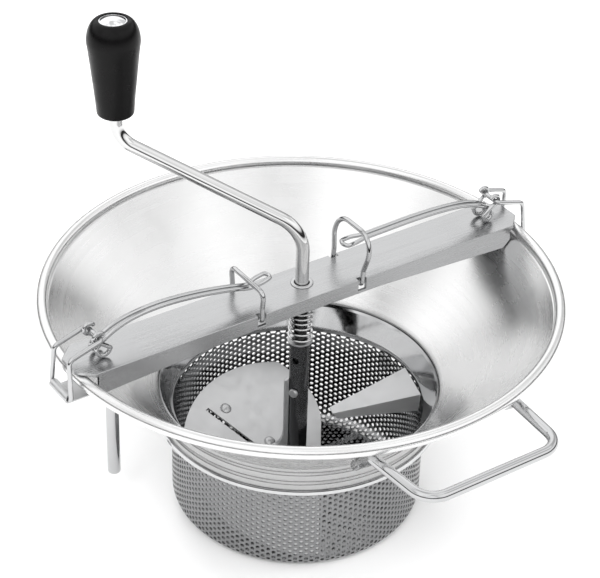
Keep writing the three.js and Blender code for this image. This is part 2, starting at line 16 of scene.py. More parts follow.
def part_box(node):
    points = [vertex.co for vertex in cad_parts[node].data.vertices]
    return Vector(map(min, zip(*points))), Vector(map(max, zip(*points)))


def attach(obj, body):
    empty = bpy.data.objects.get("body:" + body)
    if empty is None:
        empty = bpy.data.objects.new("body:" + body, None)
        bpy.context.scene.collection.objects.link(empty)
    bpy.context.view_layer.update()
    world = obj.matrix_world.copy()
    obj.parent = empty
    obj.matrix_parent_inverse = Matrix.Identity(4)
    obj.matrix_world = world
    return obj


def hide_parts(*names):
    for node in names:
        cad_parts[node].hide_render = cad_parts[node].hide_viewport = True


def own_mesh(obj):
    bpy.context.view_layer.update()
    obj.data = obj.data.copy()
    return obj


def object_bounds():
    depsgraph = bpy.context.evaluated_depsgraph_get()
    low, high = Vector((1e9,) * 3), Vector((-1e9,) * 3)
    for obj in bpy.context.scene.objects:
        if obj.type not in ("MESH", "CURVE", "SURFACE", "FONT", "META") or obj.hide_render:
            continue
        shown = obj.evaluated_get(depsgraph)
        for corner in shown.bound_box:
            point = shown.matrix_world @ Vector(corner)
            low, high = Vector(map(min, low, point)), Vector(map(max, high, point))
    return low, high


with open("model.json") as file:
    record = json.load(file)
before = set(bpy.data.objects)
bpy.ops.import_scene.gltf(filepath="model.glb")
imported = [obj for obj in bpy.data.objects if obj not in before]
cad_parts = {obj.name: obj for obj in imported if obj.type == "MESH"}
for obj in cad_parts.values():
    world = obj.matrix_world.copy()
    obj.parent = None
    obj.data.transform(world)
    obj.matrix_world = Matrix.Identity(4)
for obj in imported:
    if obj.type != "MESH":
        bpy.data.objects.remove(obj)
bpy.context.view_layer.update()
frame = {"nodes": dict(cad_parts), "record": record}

# %% [markdown]
# ## Where things are
# A designer of sheet metal measures heights from the rim, because the rim is what the hands and
# the crossbar touch. All sizes below are millimetres, heights are from the rim's centre plane,
# and one function turns them into the frame's metres.

# %% Driving sizes
MM = 0.001
TINY = 1e-5
behaviour = frame["record"]["behaviour"]
body_of = {node: body for body, nodes in behaviour["bodies"].items() for node in nodes}


def middle(node):
    """The middle of a CAD node's box, in millimetres."""
    low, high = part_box(node)
    return (low + high) / 2 / MM


rim_plane = middle("rim_wire").z
sheet = 1.0
gap = 0.3
cone_top = (148.15, -1.6)
cone_foot = (85.0, -64.0)
cone_slope = math.atan2(cone_top[1] - cone_foot[1], cone_top[0] - cone_foot[0])
cone_out = (math.sin(cone_slope), -math.cos(cone_slope))
rim_centre, rim_tube, rim_radius = 151.4, 7.2, 155.0
neck_radius, neck_low = 86.0, -80.0
basket_radius, basket_corner = 77.0, 9.0
bar_top = 6.2
bar_under = 4.0
shaft = 8.0
bore = 4.4  # radius of the holes the shaft turns in
base = -rim_plane  # the basket's underside


def cone_radius(z, outside=False):
    """The radius of the cone's upper face, or of its lower face, at a height."""
    inner = cone_foot[0] + (z - cone_foot[1]) / math.tan(cone_slope)
    return inner + (sheet / math.sin(cone_slope) if outside else 0)


def polar(radius, degrees, z=0.0):
    angle = math.radians(degrees)
    return Vector((radius * math.cos(angle), radius * math.sin(angle), z))


def metres(point):
    """A point in millimetres from the rim's plane, as a point of the frame."""
    return Vector((point[0], point[1], point[2] + rim_plane)) * MM


print("rim plane at", round(rim_plane, 2), "mm, cone slope", round(math.degrees(cone_slope), 1))

# %% [markdown]
# ## Working by hand, in code
# Every piece below starts as a primitive and is shaped in edit mode, as at the screen. An
# operator works on what is selected, and a freshly loaded frame is selected all over, so each
# helper first clears the selection. At the end a piece is settled: its place goes into its mesh
# and its object returns to the origin, as the frame's own nodes do.


# %% Selection and settling
def edit_mode(on, by="VERT"):
    """Enters edit mode with selection by VERT, EDGE or FACE, or leaves it."""
    if on:
        kinds = ("VERT", "EDGE", "FACE")
        bpy.context.tool_settings.mesh_select_mode = [kind == by for kind in kinds]
    bpy.ops.object.mode_set(mode="EDIT" if on else "OBJECT")


def only(*pieces):
    bpy.ops.object.select_all(action="DESELECT")
    for piece in pieces:
        piece.select_set(True)
    bpy.context.view_layer.objects.active = pieces[-1]


def nothing():
    bpy.ops.object.select_all(action="DESELECT")


def named(name):
    piece = bpy.context.object
    piece.name = name
    piece.data.name = name
    return piece


def settle(piece, smooth=32):
    """Puts the place into the mesh and shades smooth up to an angle."""
    only(piece)
    bpy.ops.object.transform_apply(location=True, rotation=True, scale=True)
    bpy.ops.object.shade_smooth_by_angle(angle=math.radians(smooth))
    return piece


def tidy_mesh(piece, merge=2e-6, outward=True):
    only(piece)
    edit_mode(True)
    bpy.ops.mesh.select_all(action="SELECT")
    bpy.ops.mesh.remove_doubles(threshold=merge)
    if outward:
        bpy.ops.mesh.normals_make_consistent(inside=False)
    edit_mode(False)
    return piece


def modified(piece, kind, **settings):
    """Adds a modifier, sets it and applies it."""
    only(piece)
    modifier = piece.modifiers.new(kind.title(), kind)
    for key, value in settings.items():
        setattr(modifier, key, value)
    bpy.ops.object.modifier_apply(modifier=modifier.name)
    return piece


def softened(piece, width, segments=2, angle=34):
    """Rounds the edges that turn more than an angle, as a press or a tumbler leaves them."""
    return modified(
        piece, "BEVEL", width=width * MM, segments=segments, limit_method="ANGLE",
        angle_limit=math.radians(angle), miter_outer="MITER_ARC", use_clamp_overlap=True,
    )


# %% [markdown]
# ## Round pieces
# A spun cone, a washer and a grip are all lathe work. Blender has a Screw modifier for that, but
# drawing the circle once and extruding it from ring to ring shows the same outline a lathe hand
# would follow, and it keeps every ring's facets in line.


# %% Turning
def arc(r, z, radius, start, end, steps):
    """Outline points on an arc, from one angle to another in degrees."""
    turns = [math.radians(start + (end - start) * i / steps) for i in range(steps + 1)]
    return [(r + radius * math.cos(a), z + radius * math.sin(a)) for a in turns]


def eased(points, radius, steps=5):
    """An open outline with its inner corners rounded."""
    made = [points[0]]
    for before, corner, after in zip(points, points[1:], points[2:]):
        corner = Vector(corner)
        towards = [(Vector(p) - corner) for p in (before, after)]
        half = towards[0].angle(towards[1]) / 2
        back = min(radius / math.tan(half), 0.45 * min(t.length for t in towards))
        first, last = (corner + t.normalized() * back for t in towards)
        for i in range(steps + 1):
            t = i / steps
            made.append(tuple(first * (1 - t) ** 2 + corner * 2 * t * (1 - t) + last * t**2))
    return made + [points[-1]]


def turned(name, outline, sides=96, at=(0.0, 0.0), outward=True):
    """A circle at the outline's first point, extruded ring by ring to each point after it."""
    nothing()
    rings = [(max(r, TINY) * MM, (z + rim_plane) * MM) for r, z in outline]
    x, y = at[0] * MM, at[1] * MM
    (radius, height), *others = rings
    bpy.ops.mesh.primitive_circle_add(vertices=sides, radius=radius, location=(x, y, height))
    piece = named(name)
    edit_mode(True)
    for next_radius, next_height in others:
        bpy.ops.mesh.extrude_region_move()
        size = next_radius / radius
        bpy.ops.transform.resize(value=(size, size, 1), center_override=(x, y, height))
        bpy.ops.transform.translate(value=(0, 0, next_height - height))
        radius, height = next_radius, next_height
    edit_mode(False)
    tidy_mesh(piece, merge=1e-6, outward=outward)
    return settle(piece)


def ring(name, inner, outer, low, high, sides=96, soft=0.3, at=(0.0, 0.0)):
    """A washer or sleeve: a rectangle turned round the axis, with eased edges."""
    outline = [(inner, low), (outer, low), (outer, high), (inner, high), (inner, low)]
    return settle(softened(turned(name, outline, sides, at), soft))


# %% [markdown]
# ## Wires and rods
# A wire former bends straight stock round pins, so a wire is straight runs joined by arcs. One
# vertex is extruded from point to point, the edges become a curve, the curve gets the wire's
# thickness, and the result is made a mesh again.


# %% Wire forming
def bent(points, bends, steps=9):
    """Straight runs between points, joined by an arc of the given radius at each corner."""
    line = [points[0].copy()]
    for i, corner in enumerate(points[1:-1]):
        radius = bends[i] if isinstance(bends, (list, tuple)) else bends
        before = (points[i] - corner).normalized()
        after = (points[i + 2] - corner).normalized()
        half = before.angle(after) / 2
        centre = (before + after).normalized() * (radius / math.sin(half))
        start = before * (radius / math.tan(half)) - centre
        end = after * (radius / math.tan(half)) - centre
        sweep = start.angle(end)
        for k in range(steps + 1):
            shares = math.sin((1 - k / steps) * sweep), math.sin(k / steps * sweep)
            spoke = (start * shares[0] + end * shares[1]) / math.sin(sweep)
            line.append(corner + centre + spoke)
    return line + [points[-1].copy()]


def flowing(points, steps=4):
    """A smooth line through all the points."""
    line = []
    padded = [points[0] * 2 - points[1], *points, points[-1] * 2 - points[-2]]
    for a, b, c, d in zip(padded, padded[1:], padded[2:], padded[3:]):
        for i in range(steps):
            t = i / steps
            line.append(
                0.5 * (2 * b + (c - a) * t + (2 * a - 5 * b + 4 * c - d) * t**2
                       + (3 * b - a - 3 * c + d) * t**3)
            )
    return line + [points[-1].copy()]


def drawn(route, thickness):
    """One vertex extruded along a route: the base of a wire or of a plate's outline."""
    nothing()
    bpy.ops.mesh.primitive_plane_add(size=thickness * MM, location=metres(route[0]))
    edit_mode(True)
    bpy.ops.mesh.merge(type="CENTER")
    for a, b in zip(route, route[1:]):
        bpy.ops.mesh.extrude_vertices_move(TRANSFORM_OT_translate={"value": (b - a) * MM})


def wire(name, route, thickness, resolution=4):
    drawn(route, thickness)
    edit_mode(False)
    bpy.ops.object.convert(target="CURVE")
    curve = bpy.context.object.data
    curve.bevel_depth = thickness / 2 * MM
    curve.bevel_resolution = resolution
    curve.use_fill_caps = True
    bpy.ops.object.convert(target="MESH")
    return settle(softened(tidy_mesh(named(name)), 0.25, angle=60))


# %% [markdown]
# ## Plates
# A blanked plate is an outline with a thickness. Its outline is drawn by extruding one vertex
# round it, filled with a face, and extruded. Holes come from cutters, as a punch makes them.


# %% Plate work
def plate(name, outline, thickness, z=0.0):
    """A flat plate over an outline of (x, y) points."""
    drawn([Vector((x, y, z)) for x, y in outline], 1)
    bpy.ops.mesh.select_all(action="SELECT")
    bpy.ops.mesh.edge_face_add()
    bpy.ops.mesh.extrude_region_move(TRANSFORM_OT_translate={"value": (0, 0, thickness * MM)})
    edit_mode(False)
    return settle(tidy_mesh(named(name)))


def punched(piece, *cutters):
    for cutter in cutters:
        modified(piece, "BOOLEAN", operation="DIFFERENCE", solver="EXACT", object=cutter)
        bpy.data.objects.remove(cutter)
    return piece


def punch(radius, depth, centre, turn=(0, 0, 0), sides=32):
    """A round cutter, in millimetres from the rim's plane."""
    nothing()
    bpy.ops.mesh.primitive_cylinder_add(
        vertices=sides, radius=radius * MM, depth=depth * MM, location=metres(centre),
        rotation=turn,
    )
    return named("cutter")


def block_cutter(size, centre, turn=(0, 0, 0)):
    nothing()
    bpy.ops.mesh.primitive_cube_add(size=1, location=metres(centre), rotation=turn)
    cutter = named("cutter")
    cutter.scale = Vector(size) * MM
    return cutter


def crisp(piece):
    """Lets the large faces keep their own direction, so a plate shades flat up to its folds."""
    return modified(piece, "WEIGHTED_NORMAL", weight=100, keep_sharp=True)


def pressed(node, soft=0.4, segments=3):
    """A copy of a CAD node with its facets merged and its edges rounded as a press leaves them."""
    piece = bpy.data.objects.new(node + "_pressed", frame["nodes"][node].data.copy())
    bpy.context.scene.collection.objects.link(piece)
    only(piece)
    edit_mode(True)
    bpy.ops.mesh.select_all(action="SELECT")
    bpy.ops.mesh.remove_doubles(threshold=2e-6)
    bpy.ops.mesh.dissolve_limited(angle_limit=math.radians(1))
    edit_mode(False)
    return crisp(settle(softened(piece, soft, segments)))


def fitted(piece, node, finish):
    """The piece moves with its node's body, stands for the node and wears a finish."""
    piece.data.materials.clear()
    piece.data.materials.append(finish)
    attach(piece, body_of[node])
    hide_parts(node)
    return piece

# %% [markdown]
# ## The camera
# The object is seen from its front left and from above, with a long lens. The camera is placed
# first, so that every later piece is made at the size it will be seen. It looks at the shaft's
# axis in the rim's plane, and is tipped a little about its own line of sight.

# %% Camera
azimuth, elevation, tip = math.radians(-35), math.radians(33.98), math.radians(1.817)
distance = 1174.3 * MM
target = Vector((0, 0, rim_plane * MM))
back = Vector((math.sin(azimuth) * math.cos(elevation),
               -math.cos(azimuth) * math.cos(elevation), math.sin(elevation)))
right = Vector((math.cos(azimuth), math.sin(azimuth), 0))
facing = Matrix((right, back.cross(right), back)).transposed().to_4x4()
lens = bpy.data.cameras.new("camera")
lens.lens, lens.sensor_width = 120.07, 36
lens.shift_x, lens.shift_y = -0.0026, 0.0039
lens.clip_end = 20
camera = bpy.data.objects.new("camera", lens)
bpy.context.scene.collection.objects.link(camera)
camera.matrix_world = (Matrix.Translation(target + back * distance) @ facing
                       @ Matrix.Rotation(tip, 4, "Z"))
bpy.context.scene.camera = camera
print("camera", round(distance, 3), "m from the rim's centre")

# %% [markdown]
# ## Studio
# Polished steel has no look of its own: it shows the room. A product studio is a white tent with
# dark gaps, and the gaps draw the edges. The world is that tent: white overhead, grey underneath,
# with faint clouds, and a nearly black belt round the horizon that wires and rims pick up.


# %% Node helper
def node_in(tree, kind, inputs=None, **settings):
    """A new node with its settings, and its inputs set to values or linked to sockets."""
    made = tree.nodes.new(kind)
    for key, value in settings.items():
        setattr(made, key, value)
    for key, value in (inputs or {}).items():
        if isinstance(value, bpy.types.NodeSocket):
            tree.links.new(value, made.inputs[key])
        else:
            made.inputs[key].default_value = value
    return made


def ramp(tree, factor, stops):
    made = node_in(tree, "ShaderNodeValToRGB", {"Fac": factor})
    elements = made.color_ramp.elements
    while len(elements) < len(stops):
        elements.new(0.5)
    for element, (place, value) in zip(elements, stops):
        element.position = place
        element.color = (value, value, value, 1)
    return made.outputs["Color"]


# %% World
world = bpy.data.worlds.new("studio")
world.use_nodes = True
tent = world.node_tree
direction = node_in(tent, "ShaderNodeTexCoord").outputs["Generated"]
height = node_in(tent, "ShaderNodeSeparateXYZ", {"Vector": direction}).outputs["Z"]
share = node_in(tent, "ShaderNodeMapRange", {"Value": height, "From Min": -1.0}).outputs["Result"]
belt = ramp(tent, share, [(0.0, 0.3), (0.47, 0.2), (0.5, 0.02), (0.585, 0.03),
                          (0.64, 0.75), (0.75, 1.0)])
clouds = node_in(tent, "ShaderNodeTexNoise", {"Vector": direction, "Scale": 1.7, "Detail": 1.5})
patches = ramp(tent, clouds.outputs["Fac"], [(0.36, 0.5), (0.46, 0.9), (0.55, 1.0)])
light = node_in(tent, "ShaderNodeMix", {0: 1.0, 6: belt, 7: patches},
                data_type="RGBA", blend_type="MULTIPLY").outputs[2]
tent.links.new(light, tent.nodes["Background"].inputs["Color"])
brightness = 1.5
tent.nodes["Background"].inputs["Strength"].default_value = brightness
bpy.context.scene.world = world
bpy.context.scene.view_settings.view_transform = "Standard"
print("tent at strength", brightness)

# %% [markdown]
# The floor is plain paper, a hair under the basket. It is palest round the object and painted
# greyer far off, a painted shade that gives the outside of the steel something to mirror. Three
# soft lights shape the black grip and the paper. They are hidden from reflections, which are all
# that a metal has, so the steel shows the tent and the floor alone.

# %% Floor and lights
floor_size, floor_drop = 12, 0.0005
# The far tone is painted shade: the paper is ramped greyer with distance.
near_floor, far_floor = (0.8, 0.93), (3.5, 0.6)  # distance in metres, and the paper's tone there
nothing()
bpy.ops.mesh.primitive_plane_add(size=floor_size,
                                 location=(0, 0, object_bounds()[0].z - floor_drop))
floor = named("floor")
settle(floor)
paper = bpy.data.materials.new("pale_paper")
paper.use_nodes = True
sweep = paper.node_tree
spot = node_in(sweep, "ShaderNodeTexCoord").outputs["Object"]
away = node_in(sweep, "ShaderNodeVectorMath", {0: spot}, operation="LENGTH").outputs["Value"]
far = node_in(sweep, "ShaderNodeMapRange",
              {"Value": away, "From Min": near_floor[0], "From Max": far_floor[0]})
shade = ramp(sweep, far.outputs["Result"], [(0.0, near_floor[1]), (1.0, far_floor[1])])
sweep.links.new(shade, sweep.nodes["Principled BSDF"].inputs["Base Color"])
sweep.nodes["Principled BSDF"].inputs["Roughness"].default_value = 0.9
floor.data.materials.append(paper)


def softbox(name, place, size, power):
    """A soft area light that faces the rim's centre."""
    lamp = bpy.data.lights.new(name, "AREA")
    lamp.shape, lamp.size, lamp.energy = "DISK", size, power
    box = bpy.data.objects.new(name, lamp)
    bpy.context.scene.collection.objects.link(box)
    box.location = place
    box.rotation_euler = (target - Vector(place)).to_track_quat("-Z", "Y").to_euler()
    box.visible_glossy = False  # the tent alone shows in the steel


softbox("key_light", (-1.1, -0.9, 1.5), 0.9, 16)
softbox("fill_light", (1.3, -0.6, 0.9), 0.7, 5)
softbox("back_light", (0.4, 1.5, 1.1), 0.8, 9)
print("floor", floor_size, "m across, three soft lights")

# %% [markdown]
# ## Finishes
# Stainless steel is one metal; what differs is how it was finished. Spun and buffed sheet is soft
# and white with faint rings round the spindle, rolled strip keeps a grain along its length, and
# drawn wire is bright with fine lines. So each finish is a metal whose roughness and bump come
# from a texture with the right direction and scale, read from the object's own coordinates.
#
# The sleeve, the shaft under the crossbar, the punched sheet, the neck, the crossbar's strip and
# the wires have a darker tone than polished steel: a painted reflection. The simple tent lacks the
# small dark things that such surfaces mirror; the price is that they stay dark from every side.


# %% Metal finishes
def finish(name, color, metallic, roughness):
    material = bpy.data.materials.new(name)
    material.use_nodes = True
    surface = material.node_tree.nodes["Principled BSDF"]
    surface.inputs["Metallic"].default_value = metallic
    surface.inputs["Base Color"].default_value = (*color, 1)
    surface.inputs["Roughness"].default_value = roughness
    return material, material.node_tree, surface


def steel(name, color, roughness, grain, grain_depth, waviness=0.0, rings=False, painted_dark_below=None):
    """Steel with a grain, given as the texture's scale along X, Y and Z in lines per metre.

    The last argument is a height in millimetres over the rim's plane and a painted grey below it.
    """
    material, tree, surface = finish(name, color, 1, roughness[0])
    place = node_in(tree, "ShaderNodeTexCoord").outputs["Object"]
    if rings:
        parts = node_in(tree, "ShaderNodeSeparateXYZ", {"Vector": place}).outputs
        flat = node_in(tree, "ShaderNodeCombineXYZ", {"X": parts["X"], "Y": parts["Y"]})
        around = node_in(tree, "ShaderNodeVectorMath", {0: flat.outputs[0]}, operation="LENGTH")
        lines = node_in(tree, "ShaderNodeCombineXYZ",
                        {"X": around.outputs["Value"], "Y": parts["Z"], "Z": 0.0}).outputs[0]
    else:
        lines = place
    stretched = node_in(tree, "ShaderNodeMapping", {"Vector": lines, "Scale": grain}).outputs[0]
    streaks = node_in(tree, "ShaderNodeTexNoise",
                      {"Vector": stretched, "Scale": 1.0, "Detail": 2.0}).outputs["Fac"]
    smudges = node_in(tree, "ShaderNodeTexNoise",
                      {"Vector": place, "Scale": 38.0, "Detail": 3.0}).outputs["Fac"]
    blend = node_in(tree, "ShaderNodeMath", {0: streaks, 1: smudges}, operation="MULTIPLY")
    rough = node_in(tree, "ShaderNodeMapRange", {
        "Value": blend.outputs[0], "From Min": 0.12, "From Max": 0.42,
        "To Min": roughness[0], "To Max": roughness[1]}).outputs["Result"]
    tree.links.new(rough, surface.inputs["Roughness"])
    tone = node_in(tree, "ShaderNodeMapRange", {
        "Value": smudges, "From Min": 0.3, "From Max": 0.7, "To Min": 0.94, "To Max": 1.0})
    tint = node_in(tree, "ShaderNodeMix", {0: 1.0, 6: (*color, 1), 7: tone.outputs["Result"]},
                   data_type="RGBA", blend_type="MULTIPLY")
    # Painted reflection: below the given height the base colour is ramped to a darker grey.
    if painted_dark_below:
        level = (rim_plane + painted_dark_below[0]) * MM
        up = node_in(tree, "ShaderNodeSeparateXYZ", {"Vector": place}).outputs["Z"]
        over = node_in(tree, "ShaderNodeMapRange", {
            "Value": up, "From Min": level - MM, "From Max": level + MM}).outputs["Result"]
        body = ramp(tree, over, [(0.0, painted_dark_below[1]), (1.0, color[1])])
        tree.links.new(body, tint.inputs[6])
    tint = tint.outputs[2]
    tree.links.new(tint, surface.inputs["Base Color"])
    bump = node_in(tree, "ShaderNodeBump",
                   {"Height": streaks, "Distance": grain_depth * MM, "Strength": 1.0})
    if waviness:
        waves = node_in(tree, "ShaderNodeTexNoise",
                        {"Vector": place, "Scale": 13.0, "Detail": 1.0}).outputs["Fac"]
        dents = node_in(tree, "ShaderNodeBump",
                        {"Height": waves, "Distance": waviness * MM, "Strength": 1.0})
        tree.links.new(dents.outputs["Normal"], bump.inputs["Normal"])
    tree.links.new(bump.outputs["Normal"], surface.inputs["Normal"])
    return material


# The neck, below the cone's foot, is painted grey: a painted dark reflection.
buffed = steel("buffed_sheet", (0.78, 0.783, 0.788), (0.24, 0.3), (300, 300, 1), 0.0001, 0.06, True,
               painted_dark_below=(cone_foot[1] + 1, 0.46))
# The strip's tone is darker than polished steel: a painted reflection.
rolled = steel("rolled_strip", (0.46, 0.463, 0.468), (0.2, 0.34), (25, 1500, 1500), 0.004, 0.1)
# The punched sheet is painted dark grey: a painted reflection.
punched_sheet_painted_dark = steel("punched_sheet_painted_dark", (0.27, 0.272, 0.276), (0.12, 0.26), (300, 300, 60), 0.004)
plain_satin = steel("satin_plate", (0.6, 0.603, 0.608), (0.34, 0.48), (160, 160, 160), 0.001, 0.05)
# The wires' tone is a little darker than polished steel: a painted reflection.
bright = steel("bright_wire", (0.52, 0.523, 0.528), (0.06, 0.14), (500, 500, 500), 0.002)
rod_polish = steel("polished_rod", (0.66, 0.663, 0.668), (0.06, 0.14), (700, 700, 60), 0.001)
# The shaft is painted near black below the rim's plane: a painted reflection.
shaft_polish = steel("polished_shaft", (0.66, 0.663, 0.668), (0.06, 0.14), (700, 700, 60), 0.001,
                     painted_dark_below=(0, 0.06))
# The sleeve is painted near black all over: a painted reflection.
tube_painted_dark = steel("polished_tube_painted_dark", (0.11, 0.111, 0.114), (0.05, 0.12), (700, 700, 60), 0.001)
spring_wire = steel("spring_wire", (0.66, 0.662, 0.666), (0.1, 0.2), (600, 600, 600), 0.002)
chrome = steel("chrome_dome", (0.86, 0.865, 0.875), (0.03, 0.08), (300, 300, 300), 0.0005)

# %% [markdown]
# Black phenolic is glossy from its mould, with a skin that is not quite even and a haze of fine
# wear. A clear coat over a slightly rough body gives both.

# %% Black plastic
black, tree, surface = finish("black_plastic", (0.003, 0.0028, 0.003), 0, 0.34)
surface.inputs["Specular IOR Level"].default_value = 0.12
surface.inputs["Coat Weight"].default_value = 0.06
surface.inputs["Coat Roughness"].default_value = 0.12
place = node_in(tree, "ShaderNodeTexCoord").outputs["Object"]
skin = node_in(tree, "ShaderNodeTexNoise", {"Vector": place, "Scale": 900.0, "Detail": 2.0})
wear = node_in(tree, "ShaderNodeTexNoise", {"Vector": place, "Scale": 120.0, "Detail": 5.0})
haze = node_in(tree, "ShaderNodeMapRange", {
    "Value": wear.outputs["Fac"], "From Min": 0.35, "From Max": 0.7,
    "To Min": 0.26, "To Max": 0.42})
tree.links.new(haze.outputs["Result"], surface.inputs["Roughness"])
peel = node_in(tree, "ShaderNodeBump",
               {"Height": skin.outputs["Fac"], "Distance": 0.02 * MM, "Strength": 1.0})
tree.links.new(peel.outputs["Normal"], surface.inputs["Normal"])

# %% [markdown]
# ## Hopper
# The hopper is one spun sheet: a neck with two beads, a cone, and a rim rolled round a wire. Only
# its upper face is drawn, as one line turned round the shaft, and Solidify gives the sheet its
# thickness, so the wall is even round every bend.


# %% Hopper
def solid_sheet(piece, thickness, offset):
    return settle(modified(piece, "SOLIDIFY", thickness=thickness * MM, offset=offset,
                           use_even_offset=True))


def neck_bead(z):
    """How far the neck is pressed in at a height, by its two beads."""
    pitch, depth = 16.0 / 6, 1.2
    return sum(depth * 0.5 * (1 + math.cos(math.pi * max(-1, min(1, (z - centre) / 2.1))))
               for centre in (cone_foot[1] - 1.5 * pitch, cone_foot[1] - 4 * pitch))


neck_heights = np.linspace(neck_low + gap, cone_foot[1] - 1.6, 30)
neck = [(cone_foot[0] - neck_bead(z), z) for z in neck_heights]
up_cone = (cone_foot[0] + 8, cone_foot[1] + 8 * math.tan(cone_slope))
shoulder = eased([neck[-1], cone_foot, up_cone], 5)
curl_line = arc(rim_centre, 0, rim_tube / 2, 212, -115, 30)
face = eased([shoulder[-1], (cone_top[0] - 0.6, cone_top[1] - 0.6), curl_line[0]], 4)
hopper_line = [*neck, *shoulder[1:], *face[1:], *curl_line[1:]]
hopper = turned("hopper_sheet", hopper_line, sides=256, outward=False)
only(hopper)
edit_mode(True)
bpy.ops.mesh.select_all(action="SELECT")
bpy.ops.mesh.normals_make_consistent(inside=False)
edit_mode(False)
facing_up = max(hopper.data.polygons, key=lambda p: p.area).normal.z > 0
hopper = solid_sheet(hopper, sheet * 0.95, -1 if facing_up else 1)
fitted(hopper, "hopper", buffed)
core = turned("rim_core", [*arc(rim_centre, 0, 2.3, 0, 360, 20)], sides=128)
fitted(core, "rim_wire", bright)
neck_band = ring("neck_band", 77.7, neck_radius + 1.2, neck_low - 2.9, neck_low + 0.1, 192, 0.5)
fitted(neck_band, "neck_ring", rod_polish)
print("hopper", len(hopper.data.polygons), "faces, face up:", facing_up)

# %% [markdown]
# ## Perforated basket
# The basket is pressed from sheet that was punched first, so its holes run round the corner and
# across the floor. One hexagonal cell with a round hole is made from a circle, arrays repeat it,
# and the flat strip is then rolled: a formula sends each point's length to an angle and its
# height up the basket's profile. Real holes let the light through, which no bump could.

# %% Perforated strip
columns = 148
wall_middle = basket_radius - sheet / 2
corner_middle = basket_corner - sheet / 2
across = 2 * math.pi * wall_middle / columns
upwards = across * 2 / math.sqrt(3)
hole_radius = 1.16
hole_sides = 12


def honeycomb(name, pairs, rows, first_row=0.0):
    """Flat sheet of hexagonal cells in the XY plane, each with a round hole."""
    nothing()
    bpy.ops.mesh.primitive_circle_add(vertices=hole_sides, radius=hole_radius * MM,
                                      location=(0, first_row * MM, 0))
    piece = named(name)
    piece.vertex_groups.new(name="hole").add(range(hole_sides), 1, "REPLACE")
    edit_mode(True)
    bpy.ops.mesh.extrude_region_move()
    reach = upwards / math.sqrt(3) / hole_radius
    bpy.ops.transform.resize(value=(reach, reach, 1), center_override=piece.location)
    bpy.ops.mesh.select_all(action="DESELECT")
    edit_mode(False)
    for v in piece.data.vertices[hole_sides:]:
        turn = math.degrees(math.atan2(v.co.y, v.co.x)) % 60
        v.select = 15 < turn < 45
    for v in piece.data.vertices[:hole_sides]:
        v.select = False
    edit_mode(True)
    side = math.cos(math.radians(30))
    bpy.ops.transform.resize(value=(side, side, 1), center_override=piece.location)
    bpy.ops.mesh.select_all(action="SELECT")
    bpy.ops.object.vertex_group_set_active(group="hole")
    bpy.ops.mesh.select_all(action="DESELECT")
    bpy.ops.object.vertex_group_select()
    edit_mode(False)
    repeats = (((across, upwards / 2), 2), ((0, upwards), rows), ((2 * across, 0), pairs))
    for offset, count in repeats:
        modified(piece, "ARRAY", count=count, use_relative_offset=False, use_constant_offset=True,
                 constant_offset_displace=(offset[0] * MM, offset[1] * MM, 0))
    only(piece)
    bpy.ops.object.transform_apply(location=True)
    return tidy_mesh(piece, merge=2e-5)


def open_edges(piece, wanted):
    """Selects the outer edges, not the holes' edges, whose middles pass a test in millimetres."""
    mesh = piece.data
    group = piece.vertex_groups["hole"].index
    punched_point = [any(g.group == group and g.weight > 0.5 for g in v.groups)
                     for v in mesh.vertices]
    uses = {}
    for polygon in mesh.polygons:
        for key in polygon.edge_keys:
            uses[key] = uses.get(key, 0) + 1
    for item in (*mesh.polygons, *mesh.edges, *mesh.vertices):
        item.select = False
    found = 0
    for edge in mesh.edges:
        a, b = edge.vertices
        if uses.get(edge.key) == 1 and not (punched_point[a] and punched_point[b]):
            if wanted((mesh.vertices[a].co + mesh.vertices[b].co) / 2 / MM):
                edge.select = mesh.vertices[a].select = mesh.vertices[b].select = True
                found += 1
    return found


def strip(name, rows, first_row, straight_low=None, straight_high=None):
    """A perforated strip as long as the basket is round, with straight edges where asked."""
    length = columns * across
    piece = honeycomb(name, columns // 2 + 1, rows, first_row)
    edit_mode(True)
    for x, keep_right in ((0, True), (length, False)):
        bpy.ops.mesh.select_all(action="SELECT")
        bpy.ops.mesh.bisect(plane_co=(x * MM, 0, 0), plane_no=(1, 0, 0),
                            clear_inner=keep_right, clear_outer=not keep_right)
    edit_mode(False)
    halfway = first_row + rows * upwards / 2
    inside = lambda p: 0.05 < p.x < length - 0.05
    halves = ((straight_low, lambda p: p.y < halfway), (straight_high, lambda p: p.y > halfway))
    for edge, test in halves:
        if edge is None:
            continue
        open_edges(piece, lambda p: inside(p) and test(p))
        edit_mode(True, by="EDGE")
        bpy.ops.mesh.extrude_region_move()
        bpy.ops.transform.resize(value=(1, 0, 1), center_override=(0, edge * MM, 0))
        edit_mode(False)
    return piece


def rolled_up(piece):
    """Rolls the flat strip into the basket's wall, with its lower part round the corner."""
    flat = np.empty(len(piece.data.vertices) * 3)
    piece.data.vertices.foreach_get("co", flat)
    flat = flat.reshape(-1, 3) / MM
    bend = corner_middle * math.pi / 2
    turn = flat[:, 0] / wall_middle
    around = np.clip(flat[:, 1], 0, bend) / corner_middle
    radius = basket_radius - basket_corner + corner_middle * np.sin(around)
    height = basket_corner - corner_middle * np.cos(around) + np.maximum(flat[:, 1] - bend, 0)
    formed = np.stack([radius * np.cos(turn), radius * np.sin(turn), height], 1) * MM
    piece.data.vertices.foreach_set("co", formed.ravel())
    piece.data.update()
    return solid_sheet(tidy_mesh(piece, merge=2e-5), sheet, 0)


lip_low = 66.6
low_rows, high_rows = 8, 10
wall_height = corner_middle * math.pi / 2 + lip_low - basket_corner
first = (wall_height - (low_rows + high_rows - 0.5) * upwards) / 2
seam = first + low_rows * upwards
corner_strip = rolled_up(strip("basket_corner", low_rows, first, straight_low=0.0))
wall_strip = rolled_up(strip("basket_wall", high_rows, seam, straight_high=wall_height))
print("wall", len(wall_strip.data.polygons), "corner", len(corner_strip.data.polygons), "faces")

# %% [markdown]
# The floor is the same sheet. Whole cells are kept inside a circle, and the uneven margin is
# filled out to a true circle, outside and round the bush, with Blender's fill operator.

